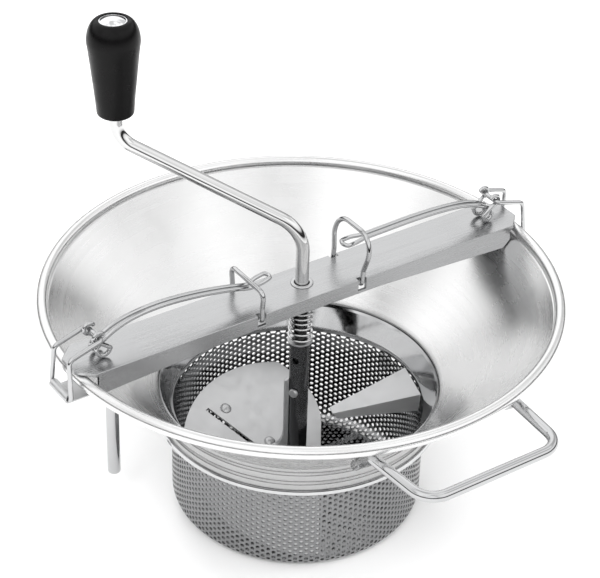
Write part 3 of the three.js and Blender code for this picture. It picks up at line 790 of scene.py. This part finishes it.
# %% Basket floor
floor_radius = basket_radius - basket_corner
bush_clear, floor_margin = 9.5, 2.6  # no holes under the bush, nor at the corner
half_pairs = int(floor_radius / (2 * across)) + 1
half_rows = int(floor_radius / upwards) + 1
disc = honeycomb("basket_floor", 2 * half_pairs + 1, 2 * half_rows + 1)
for v in disc.data.vertices:
    v.co.x -= 2 * half_pairs * across * MM
    v.co.y -= half_rows * upwards * MM
for item in (*disc.data.edges, *disc.data.vertices):
    item.select = False
for polygon in disc.data.polygons:
    column = round(polygon.center.x / MM / across)
    offset = (column % 2) * upwards / 2
    row = round((polygon.center.y / MM - offset) / upwards)
    from_axis = math.hypot(column * across, row * upwards + offset)
    polygon.select = not bush_clear < from_axis < floor_radius - floor_margin
only(disc)
edit_mode(True, by="FACE")
bpy.ops.mesh.delete(type="FACE")
edit_mode(False)
for radius, sides, test in (
    (floor_radius, columns, lambda p: p.xy.length > floor_radius / 2),
    (6.0, 24, lambda p: p.xy.length < floor_radius / 2),
):
    open_edges(disc, test)
    margin = [edge.index for edge in disc.data.edges if edge.select]
    edit_mode(True, by="EDGE")
    bpy.ops.mesh.primitive_circle_add(vertices=sides, radius=radius * MM)
    edit_mode(False)
    for i in margin:
        disc.data.edges[i].select = True
    edit_mode(True, by="EDGE")
    bpy.ops.mesh.fill(use_beauty=True)
    edit_mode(False)
for v in disc.data.vertices:
    v.co.z = sheet / 2 * MM
disc = solid_sheet(tidy_mesh(disc), sheet, 0)
print("floor", len(disc.data.polygons), "faces")

# %% [markdown]
# Above the holes the sheet is plain: it flares into the lip that hangs the basket in the neck.

# %% Basket lip, bush and food guide
lip_line = eased([(wall_middle, lip_low - rim_plane), (wall_middle, neck_low + 1.5),
                  (83.3, -66.5), (84.2, -65.1)], 3, 8)
lip = solid_sheet(turned("basket_lip", lip_line, 192, outward=False), sheet, 0)
for part in (wall_strip, corner_strip, disc):
    fitted(part, "basket", punched_sheet_painted_dark)
fitted(lip, "basket", bright)
bush_line = [(0, base), (5.7, base), (5.7, base + 1.3), (9, base + 1.3), (9, base + 3.2),
             (5.8, base + 4.3), (bore, base + 4.3), (bore, base + 1.2), (0, base + 1.2)]
fitted(settle(softened(turned("bush", bush_line, 64), 0.25)), "floor_bush", plain_satin)
fitted(pressed("food_guide", 0.3), "food_guide", plain_satin)
print("lip", len(lip.data.polygons), "faces")

# %% [markdown]
# ## Handle and legs
# The loop handle is one rod, bent at four corners, with its ends flattened on to the cone's
# underside and spot welded. Two short rods stand under the cone, so that the mill can straddle a
# pot. The rods' tops are cut on the slope of the cone with a bisecting plane.


# %% Loop handle and support legs
def under_cone(radius, degrees, thickness):
    """A point beside the cone's lower face, clear of it by a rod's radius."""
    z = cone_foot[1] + (radius - cone_foot[0]) * math.tan(cone_slope)
    off = sheet + thickness / 2 + gap
    return polar(radius + cone_out[0] * off, degrees, z + cone_out[1] * off)


handle_rod, handle_drop, handle_half, handle_reach = 6.4, 10.0, 48.0, 184.0


def handle_side(sign):
    weld_top = cone_radius(-handle_drop - 4, outside=True) - 4
    foot_y = -math.sqrt(cone_radius(-handle_drop, outside=True) ** 2 - handle_half**2) - 8
    plan = math.degrees(math.atan2(foot_y, sign * handle_half))
    return [
        under_cone(weld_top - 18, plan, handle_rod),
        under_cone(weld_top, plan, handle_rod),
        Vector((sign * handle_half, foot_y, -handle_drop)),
        Vector((sign * (handle_half - 3), -handle_reach, -handle_drop)),
    ]


loop = bent([*handle_side(-1), *reversed(handle_side(1))], [5, 6, 13, 13, 6, 5])
fitted(wire("loop_rod", loop, handle_rod, 8), "loop_handle", bright)
leg_stock, leg_cut, leg_round = -20, -50, 1.6  # heights of the raw rod's top and of the cut
for side in ("left", "right"):
    at = middle("support_leg_" + side)
    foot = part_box("support_leg_" + side)[0].z / MM - rim_plane
    stick = [(0, foot), *arc(shaft / 2 - leg_round, foot + leg_round, leg_round, -90, 0, 5),
             (shaft / 2, leg_stock), (0, leg_stock)]
    leg = turned("leg_" + side, stick, 40, (at.x, at.y))
    plan = math.atan2(at.y, at.x)
    top = polar(cone_radius(leg_cut, outside=True) + 0.6, math.degrees(plan), leg_cut)
    only(leg)
    edit_mode(True)
    bpy.ops.mesh.select_all(action="SELECT")
    bpy.ops.mesh.bisect(
        plane_co=metres(top),
        plane_no=(cone_out[0] * math.cos(plan), cone_out[0] * math.sin(plan), cone_out[1]),
        use_fill=True, clear_inner=True,
    )
    edit_mode(False)
    fitted(settle(softened(leg, 0.3)), "support_leg_" + side, bright)
    print("leg", side, "reaches", round(-foot, 1), "mm under the rim")

# %% [markdown]
# ## Crossbar
# The crossbar is strip folded into a channel, notched for the keepers and holed for the shaft.
# The CAD shape is right as a press makes it, but for its knife edges: a copy of it is merged,
# its facets are joined, and a bevel gives the folds their radius.

# %% Crossbar, eyelet and brackets
fitted(pressed("crossbar", 0.9, 4), "crossbar", rolled)
eyelet_line = [(4.45, bar_under), (5.75, bar_under), (5.75, bar_top + 0.2), (6.8, bar_top + 0.2),
               (6.5, bar_top + 0.6), (5.8, bar_top + 0.8), (4.8, bar_top + 0.7),
               (4.45, bar_top + 0.4), (4.45, bar_under)]
fitted(settle(softened(turned("eyelet", eyelet_line, 64), 0.1)), "crossbar_eyelet", plain_satin)
for side in ("left", "right"):
    fitted(pressed("latch_bracket_" + side, 0.25), "latch_bracket_" + side, plain_satin)
print("crossbar's top", bar_top, "mm over the rim's plane")

# %% [markdown]
# ## Keepers and latches
# Each latch is two wires. The bail is a loop that swings in a barrel under the rim. The lever
# hooks on the bail, curls once where it bears on the crossbar, and runs in under a keeper, a
# wire staple that stands in the crossbar's notches.

# %% Keepers
bar_half, bar_sheet = 16.0, 2.2
keeper_wire = 3.0
keeper_hook = -bar_sheet - keeper_wire / 2 - 0.4  # how far it reaches under the crossbar's top
keepers = {
    "left": {"x": -38.0, "half": 17.2, "foot": 16.0, "height": 15.2, "bulge": False, "lean": 0.0},
    "right": {"x": 32.5, "half": 17.6, "foot": 15.0, "height": 27.4, "bulge": True, "lean": 4.0},
}
for side, shape in keepers.items():
    def stand(h, y, shape=shape):
        lean = shape["lean"] * max(h, 0) / shape["height"]
        return Vector((shape["x"] + lean, y, bar_top + h))

    def keeper_side(sign, shape=shape):
        points = [stand(keeper_hook, sign * (bar_half - bar_sheet - 2.2)),
                  stand(keeper_hook, sign * shape["foot"]),
                  stand(5, sign * shape["foot"])]
        if shape["bulge"]:
            points.append(stand(shape["height"] - 12, sign * shape["half"]))
        narrow = 0.86 if shape["bulge"] else 1
        return [*points, stand(shape["height"], sign * shape["half"] * narrow)]

    rounds = [1.6, 8, 12, 11] if shape["bulge"] else [1.6, 8, 4]
    route = bent([*keeper_side(-1), *reversed(keeper_side(1))], [*rounds, *reversed(rounds)])
    fitted(wire("keeper_wire_" + side, route, keeper_wire, 5), "keeper_" + side, bright)
    print("keeper", side, shape["height"], "mm high")

# %% [markdown]
# The bail is bent from four corners, so straight runs and arcs are right for it. The lever is
# sprung and has hardly a straight run, so its route is a smooth line through a few places, each
# given as a share of the way from the keeper to the curl, a height, and half the wires' spread.

# %% Bails and levers
bail_wire, lever_wire = 2.8, 2.6
cross_radius, cross_height = rim_radius - 17, bar_top + 15.1
curl_radius, curl_ring = rim_radius - 20.2, 3.8
curl_height = bar_top + gap + lever_wire / 2 + curl_ring
barrel_radius, barrel_height = rim_radius + 4.5, bar_top - 15.7
runs = {
    "left": [(0.92, 14, 2.3), (0.81, 17.6, 2), (0.67, 19.2, 1.9), (0.52, 19.1, 1.9),
             (0.33, 17.2, 1.9), (0.12, 13.6, 1.9), (0, 10.7, 2), (-0.07, 12, 3.2)],
    "right": [(0.92, 13.6, 2.3), (0.81, 16.4, 2), (0.66, 18, 1.9), (0.46, 18.6, 1.9),
              (0.27, 18.2, 1.9), (0.11, 17.8, 2), (0.04, 17.8, 3.4)],
}
thumbs = {"left": (11, 3.4, 13.4), "right": (0, 4, 17.4)}  # beyond the keeper, width, height


def wind(sign, centre, radius, start, end, steps, y, y_end):
    turns = arc(*centre, radius, start, end, steps)
    return [Vector((sign * r, y + (y_end - y) * i / steps, z)) for i, (r, z) in enumerate(turns)]


for side, sign in (("left", -1), ("right", 1)):
    def bail_side(half):
        return [
            Vector((sign * barrel_radius, half * 5, barrel_height)),
            Vector((sign * barrel_radius, half * 11.2, barrel_height)),
            Vector((sign * (barrel_radius - 1.2), half * 8.6, bar_top + 8.8)),
            Vector((sign * cross_radius, half * 8.6, cross_height)),
        ]

    route = bent([*bail_side(-1), *reversed(bail_side(1))], [1.5, 4, 1.5, 1.5, 4, 1.5])
    fitted(wire("bail_wire_" + side, route, bail_wire, 5), "bail_" + side, bright)

    def lever_side(half):
        clip = abs(keepers[side]["x"])
        hook = wind(sign, (cross_radius, cross_height), 3.2, 150, -90, 12, half * 5.4, half * 5.4)
        curl = wind(sign, (curl_radius, curl_height), curl_ring, 165, 440, 16, half * 5, half * 2.5)
        run = [Vector((sign * (clip + share * (curl_radius - clip)), half * spread, bar_top + h))
               for share, h, spread in runs[side]]
        return [*hook, *curl, *run]

    beyond, width, height = thumbs[side]
    thumb = [
        Vector((sign * (abs(keepers[side]["x"]) - beyond - width * math.cos(turn)),
                -width * math.sin(turn), bar_top + height))
        for turn in map(math.radians, (60, 30, 0, -30, -60))
    ]
    route = flowing([*lever_side(-1), *thumb, *reversed(lever_side(1))], 3)
    fitted(wire("lever_wire_" + side, route, lever_wire, 5), "lever_" + side, bright)
    print("lever", side, "through", len(route), "points")

# %% [markdown]
# ## Crank and grip
# The shaft and the crank are one polished rod with two bends. The grip is moulded, waisted at its
# foot and round at its shoulder, and a domed cap closes it over the rod's riveted end.

# %% Crank
crank_arm, crank_turn = 110.0, 135
elbow, crank_rise = 43.0, 45.5
grip_top = 163.4
crank_line = bent(
    [Vector((0, 0, base + 1.5)), Vector((0, 0, elbow)),
     polar(crank_arm, crank_turn, elbow + crank_rise), polar(crank_arm, crank_turn, grip_top - 6)],
    [22, 16], 16,
)
fitted(wire("crank", crank_line, shaft, 10), "crank_rod", shaft_polish)
print("crank arm", crank_arm, "mm")

# %% [markdown]
# The grip is one outline turned round the crank's end: a rounded foot, a slow taper, a round
# shoulder, and a seat in its top where the dome sits. The dome is an arc turned the same way.

# %% Grip, cap and washer
grip_at = polar(crank_arm, crank_turn)
seat = 8.0
grip_foot = 104.5
shoulder_drop = 13.4
shoulder = arc(seat + 0.6, grip_top - shoulder_drop, 1, 0, 84, 14)
shoulder = [(seat + 0.6 + (r - seat - 0.6) * (15.3 - seat - 0.6),
             grip_top - shoulder_drop + (z - grip_top + shoulder_drop) * (shoulder_drop - 0.4))
            for r, z in shoulder]
grip_line = [
    (4.5, grip_foot), (9.0, grip_foot), *arc(9.0, grip_foot + 1.8, 1.8, -90, 0, 6),
    (11.6, 116), (13.2, 132), (14.6, 145), *shoulder,
    (seat + 0.3, grip_top - 0.4), (seat + 0.3, grip_top - 2.2),
    (seat - 0.8, grip_top - 2.2), (seat - 0.8, grip_top - 9), (4.5, grip_top - 9), (4.5, grip_foot),
]
spot = (grip_at.x, grip_at.y)
fitted(turned("grip_body", grip_line, 96, spot), "grip", black)
dome = [(0, grip_top - 1.9), (seat, grip_top - 1.9), (seat, grip_top - 0.9),
        *reversed(arc(0, grip_top - 12.2, 13.4, 90, 90 - 34, 12))]
fitted(settle(softened(turned("grip_dome", dome, 64, spot), 0.2)), "grip_cap", chrome)
fitted(ring("rivet_washer", bore, 6.7, grip_top - 8.7, grip_top - 7.3, 48, at=spot),
       "grip_washer", plain_satin)
print("grip", round(grip_top - grip_foot, 1), "mm long")

# %% [markdown]
# ## Spring
# A pressure spring is a helix of wire between two washers. Its last coil opens a little where it
# rides on the lower washer. It hangs from the crossbar and the shaft pushes it up.

# %% Spring and washers
head = bar_under - 0.4
spring_foot, spring_mean, spring_gauge, spring_turns = -33.6, 6.45, 1.5, 9
fitted(ring("spring_seat_washer", 4.5, 8.6, head - 1.2, head, 64, 0.25), "spring_seat", plain_satin)
fitted(ring("spring_foot_washer", 4.5, 7.6, spring_foot - 1.5, spring_foot - 0.3, 64, 0.25),
       "spring_washer", plain_satin)
start, end = head - 1.5 - spring_gauge / 2, spring_foot + spring_gauge / 2
per_turn = 22
helix = []
for i in range(spring_turns * per_turn + 1):
    t = i / (spring_turns * per_turn)
    widen = 0.7 * max(0, 1 - 3 * (1 - t))
    eased_t = t + 0.02 * math.sin(2 * math.pi * t)
    helix.append(polar(spring_mean + widen, 360 * i / per_turn, start + (end - start) * eased_t))
coil = fitted(wire("spring_coil", helix, spring_gauge, 4), "spring", spring_wire)
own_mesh(coil)

# %% [markdown]
# ## Sleeve and blade
# A sleeve is screwed to the shaft, and a sloping half-round plate hangs on it. The plate is
# drawn flat, punched, and then leaned with one shear, so its plan outline stays true while one
# edge rides high and the other wipes the floor.

# %% Sleeve and screw
sleeve = ring("sleeve", bore, 6.0, base + 4.6, -35.8, 64, 0.35)
drill_way = math.radians(-115 - 35)
screw_height = -70
for radius, z in ((2.2, -47), (1.8, screw_height)):
    tip_at = polar(6.5, math.degrees(drill_way), z)
    punched(sleeve, punch(radius, 7, tip_at, (math.pi / 2, 0, drill_way + math.pi / 2)))
fitted(settle(sleeve), "blade_sleeve", tube_painted_dark)
screw_line = [(0, 4.6), (1.4, 4.6), (1.4, 6.5), (2.8, 6.5), (2.8, 7.9), (2.3, 8.3), (0, 8.5)]
screw = turned("screw", [(r, z - rim_plane) for r, z in screw_line], 40)
slot = block_cutter((8, 0.8, 1.2), (0, 0, 8.6 - rim_plane))
punched(softened(screw, 0.12), slot)
screw.data.transform(
    Matrix.Translation(metres((0, 0, screw_height))) @ Matrix.Rotation(drill_way, 4, "Z")
    @ Matrix.Rotation(math.pi / 2, 4, "Y")
)
fitted(settle(screw), "sleeve_screw", plain_satin)
print("screw", -screw_height, "mm under the rim")

# %% [markdown]
# The blade's outline is a straight edge, a nose that blends into the round, and the round itself.
# A slit lets the strip under it scrape the floor, and two rivets hold the strip.

# %% Blade, strip and rivets
blade_reach, blade_edge, blade_sheet = 70.0, 15.0, 1.2
blade_drop, blade_turn = -124.0, math.radians(-35)
slope_across, slope_along = -0.2, 0.27
rivets = [Vector((-45.1, 24.9)), Vector((-16.7, 6.5))]
rivet_hole = 1.9
along = (rivets[1] - rivets[0]).normalized()
aside = Vector((along.y, -along.x))
turn = math.atan2(along.y, along.x)


def leaned(piece):
    """Shears a flat piece made at height 0 to the blade's slope and turns it to its place."""
    lift = Matrix.Translation((0, 0, -rim_plane * MM))
    shear = Matrix(((1, 0, 0, 0), (0, 1, 0, 0), (slope_across, slope_along, 1, 0), (0, 0, 0, 1)))
    place = Matrix.Translation(metres((0, 0, blade_drop)))
    piece.data.transform(place @ Matrix.Rotation(blade_turn, 4, "Z") @ shear @ lift)
    return crisp(settle(piece))


low_corner = -math.sqrt(blade_reach**2 - blade_edge**2)
far_corner = math.sqrt(blade_reach**2 - 14**2)
curve = [Vector((blade_edge, 28)), Vector((blade_edge - 1, 54)), Vector((-14, far_corner))]
steps = [i / 12 for i in range(13)]
nose = [curve[0] * (1 - t) ** 2 + curve[1] * 2 * t * (1 - t) + curve[2] * t**2 for t in steps]
round_from = math.degrees(math.atan2(far_corner, -14))
round_to = 360 - math.degrees(math.atan2(-low_corner, blade_edge))
rim_arc = arc(0, 0, blade_reach, round_from, round_to, 64)
outline = [(blade_edge, low_corner), *(tuple(p) for p in nose), *rim_arc[1:-1]]
blade = plate("blade_plate", outline, blade_sheet)
slot_at = rivets[0] + along * 18 + aside * 9
punched(
    blade,
    block_cutter((52, 2.6, 8), (*slot_at, 0), (0, 0, turn)),
    punch(6.9, 20, (0, 0, 0), sides=64),
    *(punch(rivet_hole, 8, (*p, 0)) for p in rivets),
)
fitted(leaned(softened(blade, 0.25)), "blade", plain_satin)
strip_at = rivets[0] + along * 17 + aside
under = block_cutter((48, 11, 0.9), (*strip_at, -0.75), (0, 0, turn))
under.name = "wiper"
settle(under)
punched(under, *(punch(rivet_hole, 8, (*p, 0)) for p in rivets))
fitted(leaned(softened(under, 0.15)), "scraper_strip", rolled)
for i, p in enumerate(rivets):
    head_line = [(0, -1.9), (2.6, -1.9), (2.6, -1.5), (1.6, -1.5), (1.6, 1.5), (3.4, 1.5),
                 *arc(0, -0.9, 4.2, 35, 90, 8)]
    rivet = turned("rivet_" + str(i + 1), head_line, 40, p)
    fitted(leaned(rivet), "scraper_rivet_" + str(i + 1), plain_satin)
fitted(pressed("blade_hub", 0.35), "blade_hub", plain_satin)
print("blade leans", slope_across, "and", slope_along, "mm per mm")
